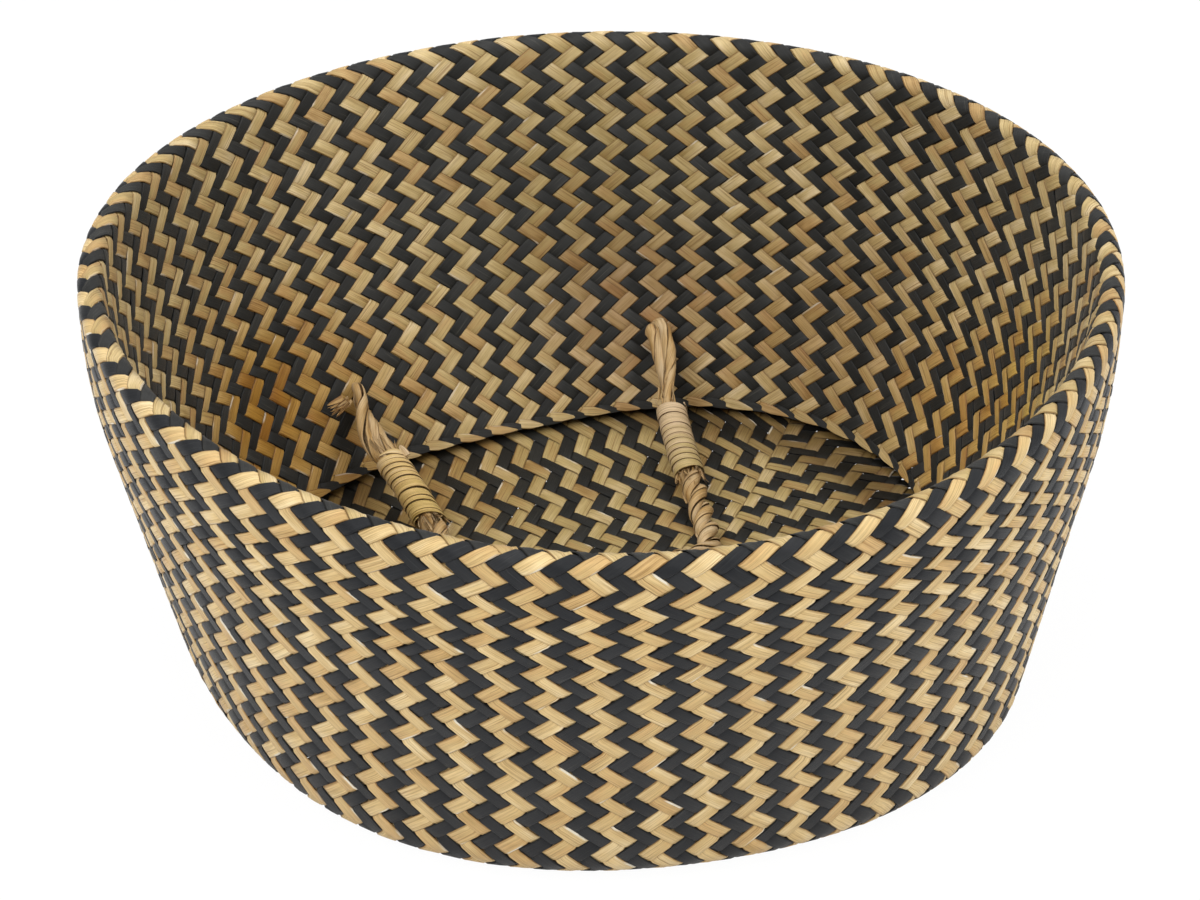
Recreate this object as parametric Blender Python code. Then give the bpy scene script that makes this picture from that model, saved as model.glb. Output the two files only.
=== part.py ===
"""Belly basket of plaited seagrass, with its upper half pushed down inside the lower half.

The plait is one continuous skin: a flat floor, a rounded corner, a flared outer wall, a
fold at the rim and an inner wall that runs down to a hemmed mouth just above the floor.
Each zone of it is a solid of its own. Two rope bails hang in eyes through the inner wall,
and a wound lashing binds each leg of a bail. Metres, +Z up, origin on the ground under
the middle of the basket.
"""
import math

import bmesh
import bpy
from mathutils import Matrix, Vector

# Plait
rim_radius = 0.180
basket_height = 0.1476
plait_thickness = 0.0024
zone_gap = 0.0003

# Outer wall
base_inset = 0.0358
base_radius = rim_radius - base_inset
corner_radius = 0.0144
belly_drop = 0.018

# Fold at the rim
fold_radius = 0.0036
rim_band = 0.011

# Inner wall and mouth
mouth_inset = 0.0230
mouth_radius = base_radius - mouth_inset
mouth_lift = 0.0047
inner_bulge = 0.005
hem_width = 0.009
hem_thickness = 0.0032

# Handles
handle_azimuth = math.radians(-21)
handle_half_angle = math.radians(30.3)
anchor_height = 0.0289
anchor_standoff = 0.003
eye_radius = 0.0095
eye_rope_radius = 0.0032
rope_root_radius = 0.0026
eye_clearance = 0.0005
rope_radius = 0.0045
doubled_rope_radius = 0.0055
doubled_rope_taper = 0.008
bound_rope_radius = 0.0049
rope_floor_gap = 0.0003
bail_clearance = 0.0021

# Lashings
left_lashing_from_eye = 0.0245
right_lashing_from_eye = 0.0355
lashing_turns = 10
lashing_pitch = 0.0032
lashing_strand_radius = 0.00125
lashing_gap = 0.0003

# Steps of the round shapes
round_steps = 64
corner_steps = 4
cone_steps = 1
belly_steps = 3
fold_steps = 6
inner_steps = 4
hem_steps = 1
fold_skirt_steps = 2
eye_steps = 18
eye_sides = 8
rope_points_per_route_point = 3
lashing_points_per_turn = 10
rope_bevel_steps = 2
lashing_bevel_steps = 1
halving_steps = 40
weld_distance = 0.00001

# Out-of-round terms of the hand-made shape: waves per turn, then the cosine part and the
# sine part, each a share of the rim's radius
rim_round_shares = ((2, -0.010, -0.010), (4, 0.003, 0.013))
rim_height_shares = ((2, 0.018, 0.003), (3, -0.013, -0.001))
base_round_shares = ((1, -0.012, -0.010), (2, -0.010, -0.008), (3, -0.025, 0.003), (4, -0.012, -0.027))
mouth_round_shares = ((1, 0.020, -0.010), (2, 0.022, 0.028), (3, -0.037, 0.022))

# Route of a bail from eye to eye: shares of the eyes' half spacing, of the bails' reach and
# of the drop to the floor
bail_route_shares = (
    (0.97, 0.175, 0.13),
    (0.93, 0.28, 0.27),
    (0.885, 0.415, 0.47),
    (0.853, 0.56, 0.68),
    (0.828, 0.66, 0.81),
    (0.798, 0.745, 0.91),
    (0.735, 0.81, 0.97),
    (0.59, 0.855, 1.00),
    (0.39, 0.88, 1.00),
    (0.18, 0.91, 1.00),
    (-0.02, 0.94, 1.00),
    (-0.22, 0.97, 1.00),
    (-0.42, 0.998, 1.00),
    (-0.59, 0.983, 1.00),
    (-0.655, 0.91, 1.00),
    (-0.69, 0.825, 0.97),
    (-0.73, 0.725, 0.88),
    (-0.765, 0.61, 0.75),
    (-0.81, 0.455, 0.53),
    (-0.87, 0.30, 0.30),
    (-0.96, 0.155, 0.11),
)

# Colours
outer_straw = (0.66, 0.46, 0.22, 1.0)
inner_straw = (0.46, 0.31, 0.13, 1.0)
rope_straw = (0.52, 0.37, 0.17, 1.0)
lashing_straw = (0.60, 0.45, 0.22, 1.0)
straw_roughness = 0.62

# Places worked out from the sizes above
half_thickness = plait_thickness / 2
rim_middle_radius = rim_radius - half_thickness
fold_centre = Vector((rim_middle_radius - fold_radius, basket_height - half_thickness - fold_radius))
mouth_point = Vector((mouth_radius + half_thickness, mouth_lift))
up = Vector((0, 0, 1))


def clear_scene():
    for thing in list(bpy.data.objects):
        bpy.data.objects.remove(thing)


def material(name, colour):
    made = bpy.data.materials.new(name)
    made.use_nodes = True
    shader = made.node_tree.nodes["Principled BSDF"]
    shader.inputs["Base Color"].default_value = colour
    shader.inputs["Roughness"].default_value = straw_roughness
    shader.inputs["Metallic"].default_value = 0
    made.diffuse_color = colour
    return made


def add_object(name, data, finish):
    made = bpy.data.objects.new(name, data)
    bpy.context.collection.objects.link(made)
    made.data.materials.append(finish)
    return made


def hide_as_cutter(cutter):
    cutter.hide_render = True
    cutter.display_type = "WIRE"


# Meridian of the plait's middle surface, as points of radius and height

def polar(angle, length):
    return Vector((math.cos(angle), math.sin(angle))) * length


def corner_and_wall():
    """The turn of the corner's arc, where it meets the cone, and the cone's upper end."""
    centre = Vector((base_radius, corner_radius))
    arc = corner_radius - half_thickness
    bend = Vector((rim_middle_radius, fold_centre.y - rim_band - belly_drop))
    reach = bend - centre
    turn = math.atan2(reach.y, reach.x) - math.acos(arc / reach.length)
    foot = centre + polar(turn, arc)
    cone_end = bend + (foot - bend).normalized() * belly_drop
    return centre, arc, turn, foot, cone_end, bend


def outer_wall_points():
    centre, arc, turn, foot, cone_end, bend = corner_and_wall()
    start = -math.pi / 2
    turns = [start + (turn - start) * step / corner_steps for step in range(corner_steps)]
    points = [centre + polar(angle, arc) for angle in turns]
    points += [foot.lerp(cone_end, step / cone_steps) for step in range(cone_steps)]
    rim_foot = Vector((rim_middle_radius, fold_centre.y - rim_band))
    for step in range(belly_steps + 1):
        share = step / belly_steps
        points.append(cone_end.lerp(bend, share).lerp(bend.lerp(rim_foot, share), share))
    points[-1].y -= zone_gap
    return points


def inner_arc():
    """The arc of the inner wall: its centre, radius, first angle and last angle."""
    lean = 0
    for _ in range(halving_steps):
        top = fold_centre + polar(math.pi - lean, fold_radius)
        chord = mouth_point - top
        spread = 2 * math.atan2(2 * inner_bulge, chord.length)
        lean = math.atan2(-chord.x, -chord.y) - spread
    radius = chord.length / 2 / math.sin(spread)
    centre = top - polar(-lean, radius)
    return centre, radius, -lean, -lean - 2 * spread


def inner_point(share):
    """A point of the inner wall's middle surface, by its share of the way to the mouth."""
    centre, radius, first, last = inner_arc()
    return centre + polar(first + (last - first) * share, radius)


def inner_length():
    centre, radius, first, last = inner_arc()
    return radius * (first - last)


def inner_points(first_distance, last_distance, steps):
    length = inner_length()
    first = first_distance / length
    last = last_distance / length
    return [inner_point(first + (last - first) * step / steps) for step in range(steps + 1)]


def fold_points():
    lean = -inner_arc()[2]
    points = [Vector((rim_middle_radius, fold_centre.y - rim_band))]
    for step in range(fold_steps + 1):
        points.append(fold_centre + polar((math.pi - lean) * step / fold_steps, fold_radius))
    points += inner_points(0, rim_band, fold_skirt_steps)[1:]
    return points


def strip_outline(points, thickness):
    """The closed outline of a strip that follows the points."""
    sides = ([], [])
    for index, point in enumerate(points):
        before = points[max(index - 1, 0)]
        after = points[min(index + 1, len(points) - 1)]
        along = (after - before).normalized()
        across = Vector((-along.y, along.x)) * thickness / 2
        sides[0].append(point + across)
        sides[1].append(point - across)
    return sides[0] + sides[1][::-1]


# Out-of-round shape

def wave_sum(shares, angle):
    total = 0
    for waves, cosine, sine in shares:
        total += cosine * math.cos(waves * angle) + sine * math.sin(waves * angle)
    return rim_radius * total


def hand_shape(radius, height, angle, inner_share):
    """The place of a point of the round shape once the hand-made waves are added."""
    depth_share = (basket_height - height) / basket_height
    foot = wave_sum(base_round_shares, angle) * (1 - inner_share)
    foot += wave_sum(mouth_round_shares, angle) * inner_share
    radius += wave_sum(rim_round_shares, angle) * (1 - depth_share) + foot * depth_share
    height += wave_sum(rim_height_shares, angle) * (1 - depth_share)
    return Vector((radius * math.cos(angle), radius * math.sin(angle), height))


def always_outer(radius):
    return 0


def always_inner(radius):
    return 1


def across_fold(radius):
    share = (fold_centre.x + fold_radius - radius) / (2 * fold_radius)
    return min(max(share, 0), 1)


def shape_by_hand(shell, inner_share):
    for vertex in shell.verts:
        radius = math.hypot(vertex.co.x, vertex.co.y)
        angle = math.atan2(vertex.co.y, vertex.co.x)
        vertex.co = hand_shape(radius, vertex.co.z, angle, inner_share(radius))


# Plait

def finished_shell(name, shell, inner_share, finish):
    shape_by_hand(shell, inner_share)
    bmesh.ops.recalc_face_normals(shell, faces=shell.faces)
    data = bpy.data.meshes.new(name)
    shell.to_mesh(data)
    shell.free()
    data.shade_smooth()
    return add_object(name, data, finish)


def turned_zone(name, points, thickness, inner_share, finish):
    """A ring-shaped zone of the plait: its strip outline turned about the Z axis."""
    shell = bmesh.new()
    corners = [shell.verts.new((point.x, 0, point.y)) for point in strip_outline(points, thickness)]
    edges = [shell.edges.new((corner, corners[index - 1])) for index, corner in enumerate(corners)]
    outline = corners + edges
    bmesh.ops.spin(
        shell, geom=outline, cent=(0, 0, 0), axis=up, angle=math.tau, steps=round_steps, use_merge=True
    )
    return finished_shell(name, shell, inner_share, finish)


def base_mat(finish):
    shell = bmesh.new()
    radius = base_radius - zone_gap
    bmesh.ops.create_circle(shell, cap_ends=True, segments=round_steps, radius=radius)
    raised = bmesh.ops.extrude_face_region(shell, geom=shell.faces[:])["geom"]
    top = [item for item in raised if isinstance(item, bmesh.types.BMVert)]
    bmesh.ops.translate(shell, verts=top, vec=up * plait_thickness)
    return finished_shell("base_mat", shell, always_outer, finish)


def plait(outer_finish, inner_finish):
    base_mat(inner_finish)
    turned_zone("outer_wall", outer_wall_points(), plait_thickness, always_outer, outer_finish)
    turned_zone("fold_rim", fold_points(), plait_thickness, across_fold, outer_finish)
    hem_start = inner_length() - hem_width
    wall_points = inner_points(rim_band + zone_gap, hem_start, inner_steps)
    wall = turned_zone("inner_wall", wall_points, plait_thickness, always_inner, inner_finish)
    hem_points = inner_points(hem_start + zone_gap, inner_length(), hem_steps)
    turned_zone("mouth_hem", hem_points, hem_thickness, always_inner, inner_finish)
    return wall


# Handles

def wall_anchor(azimuth):
    """The centre of an eye: a point that stands off the inner wall at the eyes' height."""
    angle = math.pi / 2 - azimuth
    low = 0
    high = 1
    for _ in range(halving_steps):
        share = (low + high) / 2
        nominal = inner_point(share)
        place = hand_shape(nominal.x, nominal.y, angle, 1)
        if place.z > anchor_height:
            low = share
        else:
            high = share
    centre = inner_arc()[0]
    facing = (centre - nominal).normalized()
    outward = Vector((math.cos(angle), math.sin(angle), 0))
    return place + (outward * facing.x + up * facing.y) * anchor_standoff


def handle_frame(azimuth):
    """The hinge frame of a bail, X along its axis and Y into the basket, and half its eyes' spacing."""
    clockwise = wall_anchor(azimuth + handle_half_angle)
    counter = wall_anchor(azimuth - handle_half_angle)
    along = (counter - clockwise).normalized()
    inward = up.cross(along).normalized()
    frame = Matrix((along, inward, along.cross(inward))).transposed().to_4x4()
    frame.translation = (clockwise + counter) / 2
    return frame, (counter - clockwise).length / 2


def bail_route(frame, half_spacing, reach):
    """The route's points in the hinge frame, from the root at one eye to the root at the other."""
    floor_level = plait_thickness + rope_floor_gap + rope_radius
    points = []
    for across_share, reach_share, drop_share in bail_route_shares:
        across = across_share * half_spacing
        drop = frame.translation.z + frame.col[0].z * across - floor_level
        points.append(Vector((across, reach_share * reach, -drop_share * drop)))
    for place, side in ((0, 1), (len(points), -1)):
        nearest = points[0] if side > 0 else points[-1]
        slope = math.atan2(nearest.z, nearest.y)
        root = Vector((side * half_spacing, eye_radius * math.cos(slope), eye_radius * math.sin(slope)))
        points.insert(place, root)
    return points


def smooth_path(points, steps):
    """Points on a smooth curve through the given points."""
    padded = [points[0] * 2 - points[1]] + points + [points[-1] * 2 - points[-2]]
    path = []
    for index in range(1, len(padded) - 2):
        before, start, end, after = padded[index - 1:index + 3]
        for step in range(steps):
            share = step / steps
            path.append((
                start * 2
                + (end - before) * share
                + (before * 2 - start * 5 + end * 4 - after) * share ** 2
                + (start * 3 - before - end * 3 + after) * share ** 3
            ) / 2)
    path.append(points[-1])
    return path


def bail_path(frame, half_spacing, reach):
    return smooth_path(bail_route(frame, half_spacing, reach), rope_points_per_route_point)


def bail_reach(places):
    """How far both bails reach over the floor, with their clearance between them."""
    low = 0
    high = (places[0][0].translation - places[1][0].translation).length
    for _ in range(halving_steps):
        reach = (low + high) / 2
        lying = []
        for frame, half_spacing in places:
            lying.append([frame @ point for point in bail_path(frame, half_spacing, reach)])
        apart = min((point - other).length for point in lying[0] for other in lying[1])
        if apart < rope_radius * 2 + bail_clearance:
            high = reach
        else:
            low = reach
    return reach


def path_distances(path):
    distances = [0]
    for start, end in zip(path, path[1:]):
        distances.append(distances[-1] + (end - start).length)
    return distances


def path_point(path, distances, distance):
    """The point at this distance along the path."""
    index = 0
    while index < len(path) - 2 and distances[index + 1] < distance:
        index += 1
    share = (distance - distances[index]) / (distances[index + 1] - distances[index])
    return path[index].lerp(path[index + 1], share)


def lashing_length():
    return lashing_turns * lashing_pitch


def rope_thickness(distance, length):
    """The rope's radius: thin at the eye, doubled above the lashing, squeezed under it."""
    legs = ((distance, left_lashing_from_eye), (length - distance, right_lashing_from_eye))
    from_eye, lashing_from_eye = min(legs)
    if from_eye < doubled_rope_taper:
        return rope_root_radius + (doubled_rope_radius - rope_root_radius) * from_eye / doubled_rope_taper
    if from_eye < lashing_from_eye - lashing_pitch:
        return doubled_rope_radius
    if from_eye < lashing_from_eye + lashing_length() + lashing_pitch:
        return bound_rope_radius
    return rope_radius


def tube_curve(name, path, radii, resolution):
    data = bpy.data.curves.new(name, "CURVE")
    data.dimensions = "3D"
    data.bevel_depth = 1
    data.bevel_resolution = resolution
    data.use_fill_caps = True
    spline = data.splines.new("POLY")
    spline.points.add(len(path) - 1)
    for point, place, radius in zip(spline.points, path, radii):
        point.co = (*place, 1)
        point.radius = radius
    return data


def weld_caps(data):
    """Join the caps of a curve's tube to its sides, so that a Boolean can use it."""
    tube = bmesh.new()
    tube.from_mesh(data)
    bmesh.ops.remove_doubles(tube, verts=tube.verts, dist=weld_distance)
    bmesh.ops.recalc_face_normals(tube, faces=tube.faces)
    tube.to_mesh(data)
    tube.free()


def eye_ring(name, frame, across, thickness):
    bpy.ops.mesh.primitive_torus_add(
        major_segments=eye_steps, minor_segments=eye_sides, major_radius=eye_radius, minor_radius=thickness
    )
    ring = bpy.context.object
    ring.name = name
    ring.matrix_world = frame @ Matrix.Translation((across, 0, 0)) @ Matrix.Rotation(math.pi / 2, 4, "Y")
    hide_as_cutter(ring)
    return ring


def add_boolean(target, cutter, operation):
    step = target.modifiers.new(cutter.name, "BOOLEAN")
    step.operation = operation
    step.use_self = True
    step.object = cutter


def split_rope_path(path, distances):
    """The path with a point wherever the rope's thickness changes."""
    stops = []
    for eye, heading, first in ((0, 1, left_lashing_from_eye), (distances[-1], -1, right_lashing_from_eye)):
        marks = [doubled_rope_taper, first - lashing_pitch * 1.5, first - lashing_pitch]
        marks += [first + lashing_length() + lashing_pitch, first + lashing_length() + lashing_pitch * 1.5]
        stops += [eye + heading * mark for mark in marks]
    kept = []
    for distance in distances:
        if min(abs(distance - stop) for stop in stops) > lashing_pitch / 2:
            kept.append(distance)
    return sorted(kept + stops)


def handle_rope(side, frame, half_spacing, path, finish):
    distances = path_distances(path)
    places = split_rope_path(path, distances)
    points = [path_point(path, distances, distance) for distance in places]
    radii = [rope_thickness(distance, distances[-1]) for distance in places]
    curve = bpy.data.objects.new("route", tube_curve("route", points, radii, rope_bevel_steps))
    bpy.context.collection.objects.link(curve)
    data = bpy.data.meshes.new_from_object(curve.evaluated_get(bpy.context.evaluated_depsgraph_get()))
    bpy.data.objects.remove(curve)
    weld_caps(data)
    rope = add_object(side + "_handle_rope", data, finish)
    rope.matrix_world = frame
    for name, across in (("left", half_spacing), ("right", -half_spacing)):
        ring = eye_ring(side + "_" + name + "_eye", frame, across, eye_rope_radius)
        add_boolean(rope, ring, "UNION")
    return rope


def winding_points(path, first_distance, heading):
    """A helix round the rope's path, with a straight end as long as the strand is wide."""
    distances = path_distances(path)
    flat = math.cos(math.pi / lashing_points_per_turn)
    radius = (bound_rope_radius + lashing_gap + lashing_strand_radius) / flat
    steps = lashing_turns * lashing_points_per_turn
    points = []
    for step in range(steps + 1):
        distance = first_distance + heading * lashing_pitch * step / lashing_points_per_turn
        centre = path_point(path, distances, distance)
        behind = path_point(path, distances, distance - rope_radius)
        along = (path_point(path, distances, distance + rope_radius) - behind).normalized()
        side = along.cross(up).normalized()
        turn = math.tau * step / lashing_points_per_turn
        points.append(centre + (side * math.cos(turn) + side.cross(along) * math.sin(turn)) * radius)
    for place, end, inside in ((0, points[0], points[1]), (steps + 2, points[-1], points[-2])):
        points.insert(place, end + (end - inside).normalized() * lashing_strand_radius * 2)
    return points


def least_gap(points):
    """The least gap between turns of the winding, measured on its points and chords."""
    least = math.inf
    half_turn = lashing_points_per_turn // 2
    for index, point in enumerate(points):
        for other in range(index + half_turn, len(points) - 1):
            chord = points[other + 1] - points[other]
            share = (point - points[other]).dot(chord) / chord.length_squared
            nearest = points[other] + chord * min(max(share, 0), 1)
            least = min(least, (point - nearest).length)
    return least - lashing_strand_radius * 2


def lashing(name, frame, path, first_distance, heading, finish):
    points = winding_points(path, first_distance, heading)
    print(name, "least gap between turns, mm:", round(least_gap(points) * 1000, 3))
    data = tube_curve(name, points, [lashing_strand_radius] * len(points), lashing_bevel_steps)
    made = add_object(name, data, finish)
    made.matrix_world = frame
    return made


def handle(side, frame, half_spacing, reach, wall, rope_finish, lashing_finish):
    path = bail_path(frame, half_spacing, reach)
    handle_rope(side, frame, half_spacing, path, rope_finish)
    length = path_distances(path)[-1]
    lashing(side + "_left_lashing", frame, path, left_lashing_from_eye, 1, lashing_finish)
    lashing(side + "_right_lashing", frame, path, length - right_lashing_from_eye, -1, lashing_finish)
    for name, across in (("left", half_spacing), ("right", -half_spacing)):
        hole = eye_ring(side + "_" + name + "_hole", frame, across, eye_rope_radius + eye_clearance)
        add_boolean(wall, hole, "DIFFERENCE")
    print(side, "hinge at", tuple(frame.translation), "along", tuple(frame.col[0].xyz))


def main():
    clear_scene()
    wall = plait(material("outer_plait", outer_straw), material("inner_plait", inner_straw))
    finishes = (material("rope", rope_straw), material("lashing", lashing_straw))
    places = [handle_frame(handle_azimuth), handle_frame(handle_azimuth + math.pi)]
    reach = bail_reach(places)
    print("bail reach", reach)
    for side, place in zip(("far", "near"), places):
        handle(side, *place, reach, wall, *finishes)


main()
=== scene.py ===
"""Looks of the belly basket: every strand of the plait, the hem, the two rope bails and their lashings.

The plait is a 2/2 twill of black and natural strands. It starts as a square mat on the floor, turns up
the outer wall, goes over the fold and runs down the inner wall to the mouth. Strands are placed on one
lattice: strand a leans left going up the outer wall, strand b leans right, and they cross in row a - b.
"""
import math

import bpy
import numpy as np
from mathutils import Matrix, Vector


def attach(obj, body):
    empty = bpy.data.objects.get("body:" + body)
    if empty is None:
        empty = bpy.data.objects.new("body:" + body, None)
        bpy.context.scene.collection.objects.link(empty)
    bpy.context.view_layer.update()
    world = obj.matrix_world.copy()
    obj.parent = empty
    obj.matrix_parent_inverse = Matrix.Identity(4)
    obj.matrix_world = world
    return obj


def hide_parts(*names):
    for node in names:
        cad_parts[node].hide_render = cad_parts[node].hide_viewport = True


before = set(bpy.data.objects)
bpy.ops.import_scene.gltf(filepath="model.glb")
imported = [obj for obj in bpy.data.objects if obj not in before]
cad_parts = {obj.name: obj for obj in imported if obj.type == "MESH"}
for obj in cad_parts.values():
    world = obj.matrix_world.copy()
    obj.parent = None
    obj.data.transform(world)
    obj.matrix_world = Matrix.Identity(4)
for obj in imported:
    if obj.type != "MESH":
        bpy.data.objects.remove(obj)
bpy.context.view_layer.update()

# Sizes of the frame, as in the CAD source
rim_radius = 0.180
basket_height = 0.1476
plait_thickness = 0.0024
base_radius = 0.1442
corner_radius = 0.0144
belly_drop = 0.018
fold_radius = 0.0036
rim_band = 0.011
mouth_radius = 0.1212
mouth_lift = 0.0047
inner_bulge = 0.005
handle_azimuth = math.radians(-21)
handle_half_angle = math.radians(30.3)
anchor_height = 0.0289
anchor_standoff = 0.003
eye_radius = 0.0095
rope_radius = 0.0045
handle_reach = 0.1130112
rope_floor_gap = 0.0003

# Visible parts of the handles
ply_radius = 0.0024
ply_offset_free = 0.0021
ply_offset_doubled = 0.0025
ply_flatness = 0.8
rope_half_pitch = 0.0098
rope_step = 0.0010
leaves_per_ply = 3
leaf_half_turn = math.radians(66)
leaf_half_thickness = 0.00016
leaf_tilt = 0.10
leaf_turns_per_metre = 12
root_pinch_share = 0.30
root_pinch_reach_share = 0.62
left_eye = {"inset": 0.0025, "radius": 0.0058, "degrees": (150, 110, 72, 34)}
right_eye = {"inset": 0.0, "radius": 0.0068, "degrees": (152, 118, 85, 50)}
left_wrap = {"from_eye": 0.0240, "length": 0.0335, "turns": 15, "slant": 0.0018}
right_wrap = {"from_eye": 0.0300, "length": 0.0345, "turns": 13, "slant": 0.0004}
wrap_half_thickness = 0.00034
wrap_shingle = 0.00013
wrap_radius = 0.0056
wrap_rings_per_turn = 36
rim_round_shares = ((2, -0.010, -0.010), (4, 0.003, 0.013))
rim_height_shares = ((2, 0.018, 0.003), (3, -0.013, -0.001))
base_round_shares = ((1, -0.012, -0.010), (2, -0.010, -0.008), (3, -0.025, 0.003), (4, -0.012, -0.027))
mouth_round_shares = ((1, 0.020, -0.010), (2, 0.022, 0.028), (3, -0.037, 0.022))
bail_route_shares = (
    (0.97, 0.175, 0.13),
    (0.93, 0.28, 0.27),
    (0.885, 0.415, 0.47),
    (0.853, 0.56, 0.68),
    (0.828, 0.66, 0.81),
    (0.798, 0.745, 0.91),
    (0.735, 0.81, 0.97),
    (0.59, 0.855, 1.00),
    (0.39, 0.88, 1.00),
    (0.18, 0.91, 1.00),
    (-0.02, 0.94, 1.00),
    (-0.22, 0.97, 1.00),
    (-0.42, 0.998, 1.00),
    (-0.59, 0.983, 1.00),
    (-0.655, 0.91, 1.00),
    (-0.69, 0.825, 0.97),
    (-0.73, 0.725, 0.88),
    (-0.765, 0.61, 0.75),
    (-0.81, 0.455, 0.53),
    (-0.87, 0.30, 0.30),
    (-0.96, 0.155, 0.11),
)

# Lattice of the plait: the mat is an oblong, so its quarters have unlike counts of columns
quarter_columns = (28, 38, 28, 38)
quarter_starts = (0, 28, 66, 94, 132)
columns = 132
mat_offset = 5
seam_angle = math.radians(-20.545)
floor_angle = math.radians(-28)
rows_outside = 45
rows_inside = 46.5
floor_pitch = 0.0050
strand_shares = (0.955, 1.03)
ply_offset = 0.00052
strand_thickness = 0.00036
first_left_row = 2.5
first_right_row = 0.5
left_cut_row = 46.5
right_cut_row = 48.5
last_row = 95.7
hem_first_row = 95.45
hem_rows = 0.95
hem_reach = 1.9
hem_half_width = 0.0017
hem_lift = 0.00105

# Where the hand-made plait drifts from an even lattice. Share of the way from base edge to mouth, then in
# columns: the mean drift, its cosine part and its sine part once round
column_drifts = (
    (0.00, 1.40, 0.30, -1.10),
    (0.065, 1.30, 0.07, -1.15),
    (0.16, 1.05, -0.50, -1.22),
    (0.26, 1.37, -1.56, -0.63),
    (0.355, 1.45, -1.80, -0.30),
    (0.45, 0.95, -1.40, -0.40),
    (0.52, 1.00, -0.65, -1.00),
    (0.627, 1.02, -0.86, -1.08),
    (0.73, 0.87, -1.85, -1.27),
    (0.83, 0.40, -3.07, -1.11),
    (0.937, 0.60, -3.94, -1.60),
    (1.00, 0.60, -4.30, -1.70),
)
# The same share, then in rows: the mean drift, its two-wave part and its five-wave part
row_drifts = (
    (0.00, 0.0, 0.0, 0.0),
    (0.065, 0.9, 0.0, 0.60),
    (0.16, 0.85, 0.0, 0.60),
    (0.26, 1.1, 0.0, 0.45),
    (0.355, 1.3, 0.0, 0.50),
    (0.40, 0.4, 0.0, 0.30),
    (0.45, -1.2, 0.0, 0.20),
    (0.52, -1.8, -0.3, 0.0),
    (0.627, -3.15, -0.35, 0.0),
    (0.73, -4.9, -0.8, 0.0),
    (0.83, -5.95, -1.35, 0.0),
    (0.937, -4.9, -0.8, 0.0),
    (1.00, -4.0, 0.0, 0.0),
)
five_wave_turn = 0.84

half_thickness = plait_thickness / 2
rim_middle = rim_radius - half_thickness
fold_middle = np.array((rim_middle - fold_radius, basket_height - half_thickness - fold_radius))
mouth_point = np.array((mouth_radius + half_thickness, mouth_lift))
up = Vector((0, 0, 1))
chance = np.random.default_rng(11)


# Meridian of the plait, as a table of arc length, radius, height and inner share

def polar(angle, length):
    return np.stack((np.cos(angle), np.sin(angle)), axis=-1) * length


def inner_arc():
    lean = 0
    for _ in range(40):
        top = fold_middle + polar(math.pi - lean, fold_radius)
        chord = mouth_point - top
        length = math.hypot(*chord)
        spread = 2 * math.atan2(2 * inner_bulge, length)
        lean = math.atan2(-chord[0], -chord[1]) - spread
    radius = length / 2 / math.sin(spread)
    return top - polar(-lean, radius), radius, -lean, -lean - 2 * spread


def meridian():
    centre = np.array((base_radius, corner_radius))
    arc = corner_radius - half_thickness
    bend = np.array((rim_middle, fold_middle[1] - rim_band - belly_drop))
    reach = bend - centre
    turn = math.atan2(reach[1], reach[0]) - math.acos(arc / math.hypot(*reach))
    foot = centre + polar(turn, arc)
    cone_end = bend + (foot - bend) / math.hypot(*(foot - bend)) * belly_drop
    rim_foot = np.array((rim_middle, fold_middle[1] - rim_band))
    ease = np.linspace(0, 1, 25)[:, None]
    corner = centre + polar(np.linspace(-math.pi / 2, turn, 16), arc)
    belly = cone_end * (1 - ease) ** 2 + 2 * bend * ease * (1 - ease) + rim_foot * ease ** 2
    inner_centre, inner_radius, first, last = inner_arc()
    fold = fold_middle + polar(np.linspace(0, math.pi + first, 24), fold_radius)
    inner = inner_centre + polar(np.linspace(first, last, 60), inner_radius)
    outside = np.concatenate((corner, belly))
    points = np.concatenate((outside, fold, inner[1:]))
    shares = np.clip((fold_middle[0] + fold_radius - fold[:, 0]) / (2 * fold_radius), 0, 1)
    shares = np.concatenate((np.zeros(len(outside)), shares, np.ones(len(inner) - 1)))
    steps = np.hypot(*np.diff(points, axis=0).T)
    lengths = np.concatenate(((0,), np.cumsum(steps)))
    crest = lengths[len(outside) + 11]
    return lengths, points[:, 0], points[:, 1], shares, crest


lengths, radii, heights, inner_shares, crest_length = meridian()


def row_table():
    """Rows and the arc lengths they lie at: tight at the base and the mouth, wider at the belly."""
    rows = np.linspace(1, 1 + rows_outside, 60)
    outside = (rows - 1) / rows_outside
    first = outside + 0.045 * np.sin(math.pi * outside)
    more = np.linspace(0, 1, 60)[1:]
    second = more + 0.035 * np.sin(math.pi * more)
    ends = crest_length + second * (lengths[-1] - crest_length)
    all_rows = np.concatenate((rows, 1 + rows_outside + more * rows_inside))
    return all_rows, np.concatenate((first * crest_length, ends))


row_numbers, row_lengths = row_table()


def waves(shares, angle):
    total = 0
    for count, cosine, sine in shares:
        total = total + cosine * np.cos(count * angle) + sine * np.sin(count * angle)
    return rim_radius * total


def hand_shape(radius, height, angle, inner):
    depth = (basket_height - height) / basket_height
    foot = waves(mouth_round_shares, angle) * inner + waves(base_round_shares, angle) * (1 - inner)
    radius = radius + waves(rim_round_shares, angle) * (1 - depth) + foot * depth
    height = height + waves(rim_height_shares, angle) * (1 - depth)
    return np.stack((radius * np.cos(angle), radius * np.sin(angle), height), axis=-1)


def skin(length, angle):
    """Places on the plait's middle surface, by arc length from the base edge and by angle."""
    radius = np.interp(length, lengths, radii)
    height = np.interp(length, lengths, heights)
    inner = np.interp(length, lengths, inner_shares)
    past = np.maximum(length - lengths[-1], 0)
    lean = inner_arc()[3]
    radius = radius + past * math.sin(lean)
    height = height - past * math.cos(lean)
    return hand_shape(radius, height, angle, inner)


def unit(vectors):
    return vectors / np.linalg.norm(vectors, axis=-1, keepdims=True)


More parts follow.
